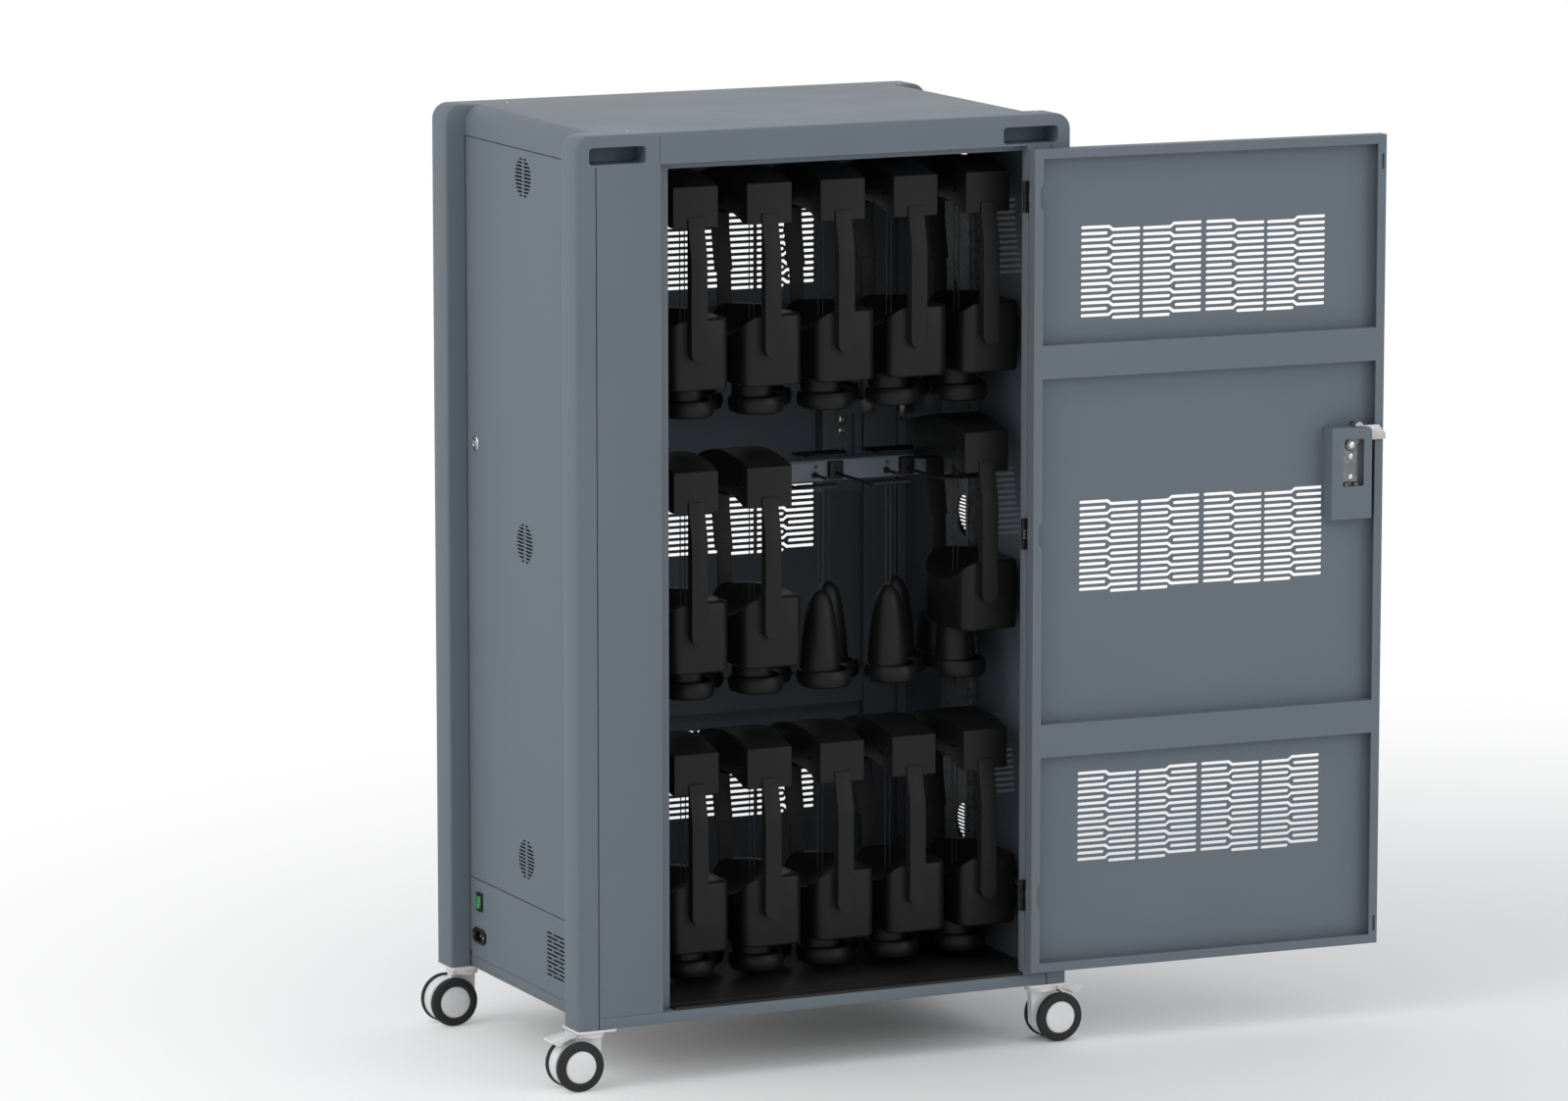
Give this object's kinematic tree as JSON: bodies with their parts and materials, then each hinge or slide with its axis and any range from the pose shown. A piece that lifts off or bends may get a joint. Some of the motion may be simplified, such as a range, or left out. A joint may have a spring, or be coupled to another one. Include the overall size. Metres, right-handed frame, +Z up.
{
  "type": "charging cart",
  "caption": "Steel charging cart on twin-wheel casters, with vented front and rear doors, hanger rails for headsets, and a mains inlet.",
  "frame": {"origin": "on the floor, under the middle of the cart's box with the front door open as pictured", "axes": "+Z up, front of the cart towards -Y, +X to the right as seen from the front"},
  "size_m": [1.3622, 0.6322, 1.407],
  "materials": {
    "slate_paint": "fine textured powder coat",
    "zinc_sheet": "galvanised",
    "nickel": "nickel plated",
    "black_plastic": "satin",
    "headset_shell": "satin",
    "switch_green": "gloss",
    "caster_white": "satin white",
    "wheel_rubber": "moulded"
  },
  "bodies": {
    "cabinet": {"base_pan": "slate_paint", "caster_plate_front_left": "caster_white", "caster_plate_front_right": "caster_white", "caster_plate_rear_left": "caster_white", "caster_plate_rear_right": "caster_white", "front_face_frame": "slate_paint", "front_hinge_1": "black_plastic", "front_hinge_2": "black_plastic", "front_hinge_3": "black_plastic", "hanger_rail_1": "zinc_sheet", "hanger_rail_2": "zinc_sheet", "hanger_rail_3": "zinc_sheet", "headset_1_1": "headset_shell", "headset_1_2": "headset_shell", "headset_1_3": "headset_shell", "headset_1_4": "headset_shell", "headset_1_5": "headset_shell", "headset_2_1": "headset_shell", "headset_2_2": "headset_shell", "headset_2_5": "headset_shell", "headset_3_1": "headset_shell", "headset_3_2": "headset_shell", "headset_3_3": "headset_shell", "headset_3_4": "headset_shell", "headset_3_5": "headset_shell", "left_lower_panel": "slate_paint", "post_front_left": "slate_paint", "post_front_right": "slate_paint", "post_rear_left": "slate_paint", "post_rear_right": "slate_paint", "power_inlet": "black_plastic", "rear_face_frame": "slate_paint", "right_lower_panel": "slate_paint", "switch_bezel": "black_plastic", "top_cover": "slate_paint", "upright_left": "zinc_sheet", "upright_right": "zinc_sheet"},
    "front_door": {"front_door": "slate_paint", "front_lock_box": "slate_paint"},
    "front_latch": {"front_latch": "nickel", "front_handle": "black_plastic"},
    "rear_door": {"rear_door": "slate_paint", "rear_lock_box": "slate_paint"},
    "rear_latch": {"rear_latch": "nickel", "rear_handle": "black_plastic"},
    "left_service_panel": {"left_service_panel": "slate_paint"},
    "left_panel_lock": {"left_panel_lock": "nickel"},
    "right_service_panel": {"right_service_panel": "slate_paint"},
    "right_panel_lock": {"right_panel_lock": "nickel"},
    "power_switch": {"switch_rocker": "switch_green"},
    "caster_front_left": {"caster_fork_front_left": "caster_white"},
    "wheels_front_left": {"caster_wheels_front_left": "wheel_rubber"},
    "brake_left": {"brake_pedal_left": "caster_white"},
    "caster_front_right": {"caster_fork_front_right": "caster_white"},
    "wheels_front_right": {"caster_wheels_front_right": "wheel_rubber"},
    "brake_right": {"brake_pedal_right": "caster_white"},
    "caster_rear_left": {"caster_fork_rear_left": "caster_white"},
    "wheels_rear_left": {"caster_wheels_rear_left": "wheel_rubber"},
    "caster_rear_right": {"caster_fork_rear_right": "caster_white"},
    "wheels_rear_right": {"caster_wheels_rear_right": "wheel_rubber"}
  },
  "joints": [
    {"name": "front_door_hinge", "type": "hinge", "parent": "cabinet", "child": "front_door", "pos_m": [0.09685, -0.24995, 0.75], "axis": [0, 0, 1], "range_deg": [-177.35, 2]},
    {"name": "front_latch_turn", "type": "hinge", "parent": "front_door", "child": "front_latch", "pos_m": [0.63767, -0.27708, 0.91751], "axis": [-0.0462, -0.9989, 0], "range_deg": [0, 90]},
    {"name": "rear_door_hinge", "type": "hinge", "parent": "cabinet", "child": "rear_door", "pos_m": [-0.48515, 0.29625, 0.75], "axis": [0, 0, 1], "range_deg": [0, 175]},
    {"name": "rear_latch_turn", "type": "hinge", "parent": "rear_door", "child": "rear_latch", "pos_m": [0.05635, 0.29415, 0.91751], "axis": [0, -1, 0], "range_deg": [0, 90]},
    {"name": "left_panel_hinge", "type": "hinge", "parent": "cabinet", "child": "left_service_panel", "pos_m": [-0.59285, -0.19235, 0.8], "axis": [0, 0, 1], "range_deg": [0, 88]},
    {"name": "left_panel_lock_turn", "type": "hinge", "parent": "left_service_panel", "child": "left_panel_lock", "pos_m": [-0.59285, 0.21075, 0.8995], "axis": [-1, 0, 0], "range_deg": [0, 90]},
    {"name": "right_panel_hinge", "type": "hinge", "parent": "cabinet", "child": "right_service_panel", "pos_m": [0.14055, -0.19235, 0.8], "axis": [0, 0, -1], "range_deg": [0, 88]},
    {"name": "right_panel_lock_turn", "type": "hinge", "parent": "right_service_panel", "child": "right_panel_lock", "pos_m": [0.14055, 0.21075, 0.8995], "axis": [1, 0, 0], "range_deg": [-90, 0]},
    {"name": "power_switch_rock", "type": "hinge", "parent": "cabinet", "child": "power_switch", "pos_m": [-0.59285, 0.20315, 0.198], "axis": [0, -1, 0], "range_deg": [0, 12]},
    {"name": "swivel_front_left", "type": "hinge", "parent": "cabinet", "child": "caster_front_left", "pos_m": [-0.59615, -0.21685, 0.0884], "axis": [0, 0, 1], "continuous": true},
    {"name": "roll_front_left", "type": "hinge", "parent": "caster_front_left", "child": "wheels_front_left", "pos_m": [-0.62015, -0.21685, 0.0375], "axis": [0, 1, 0], "continuous": true},
    {"name": "brake_press_left", "type": "hinge", "parent": "caster_front_left", "child": "brake_left", "pos_m": [-0.62445, -0.21685, 0.08295], "axis": [0, -1, 0], "range_deg": [0, 8]},
    {"name": "swivel_front_right", "type": "hinge", "parent": "cabinet", "child": "caster_front_right", "pos_m": [0.14385, -0.21685, 0.0884], "axis": [0, 0, 1], "continuous": true},
    {"name": "roll_front_right", "type": "hinge", "parent": "caster_front_right", "child": "wheels_front_right", "pos_m": [0.16785, -0.21685, 0.0375], "axis": [0, 1, 0], "continuous": true},
    {"name": "brake_press_right", "type": "hinge", "parent": "caster_front_right", "child": "brake_right", "pos_m": [0.17215, -0.21685, 0.08295], "axis": [0, 1, 0], "range_deg": [0, 8]},
    {"name": "swivel_rear_left", "type": "hinge", "parent": "cabinet", "child": "caster_rear_left", "pos_m": [-0.59615, 0.26315, 0.0884], "axis": [0, 0, 1], "continuous": true},
    {"name": "roll_rear_left", "type": "hinge", "parent": "caster_rear_left", "child": "wheels_rear_left", "pos_m": [-0.62015, 0.26315, 0.0375], "axis": [0, 1, 0], "continuous": true},
    {"name": "swivel_rear_right", "type": "hinge", "parent": "cabinet", "child": "caster_rear_right", "pos_m": [0.14385, 0.26315, 0.0884], "axis": [0, 0, 1], "continuous": true},
    {"name": "roll_rear_right", "type": "hinge", "parent": "caster_rear_right", "child": "wheels_rear_right", "pos_m": [0.16785, 0.26315, 0.0375], "axis": [0, 1, 0], "continuous": true}
  ]
}
